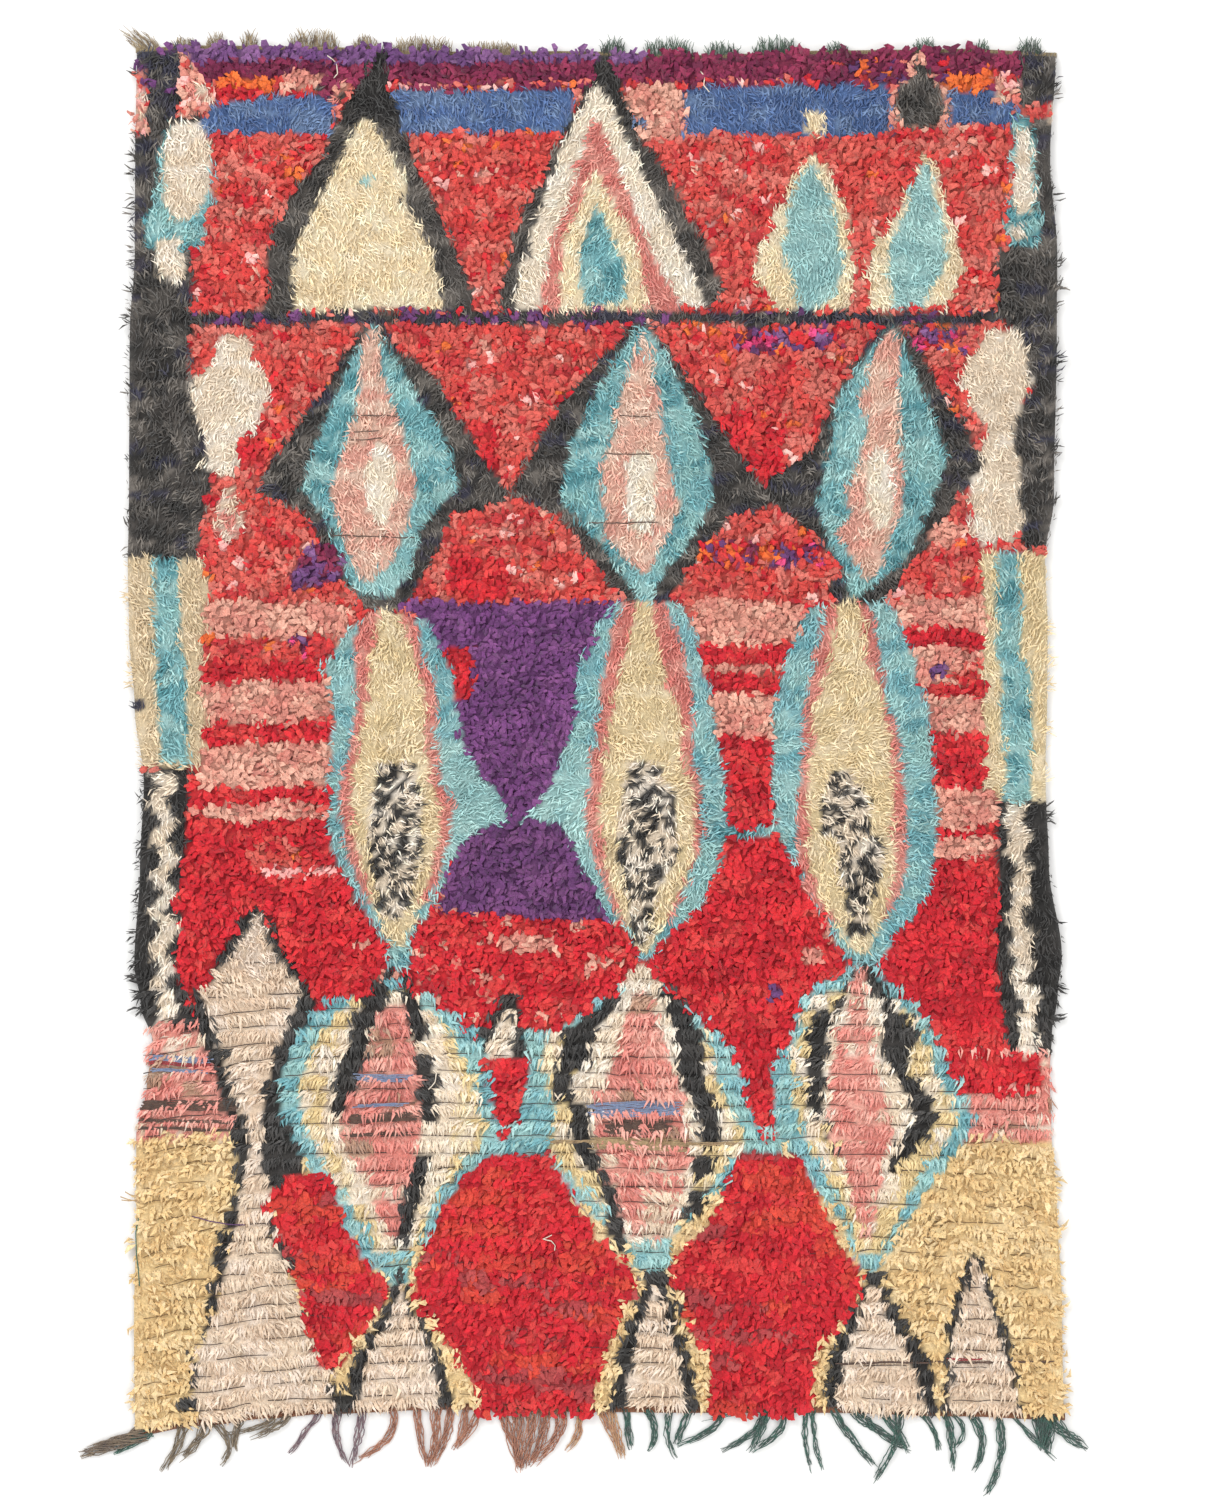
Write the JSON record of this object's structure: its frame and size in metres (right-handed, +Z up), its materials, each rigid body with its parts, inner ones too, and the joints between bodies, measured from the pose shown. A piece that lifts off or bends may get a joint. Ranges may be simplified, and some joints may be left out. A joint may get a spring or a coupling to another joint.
{
  "type": "boucherouite rug",
  "caption": "Rag and yarn pile rug lying flat, with lozenge pattern, a long warp fringe at one end and a short frayed end at the other.",
  "frame": {"origin": "middle of the underside of the whole rug, fringe included", "axes": "+Y along the rug from the long fringe to the frayed end, +Z up from the floor through the pile, +X across the rug to the right as seen from above with the frayed end away"},
  "size_m": [1.7522, 2.5892, 0.0301],
  "materials": {
    "rag_pile": "matt rag and yarn pile",
    "brown_warp": "matt wool",
    "beige_warp": "matt frayed wool"
  },
  "bodies": {
    "root": {"pile": "rag_pile", "long_fringe": "brown_warp", "frayed_end": "beige_warp"}
  },
  "joints": []
}
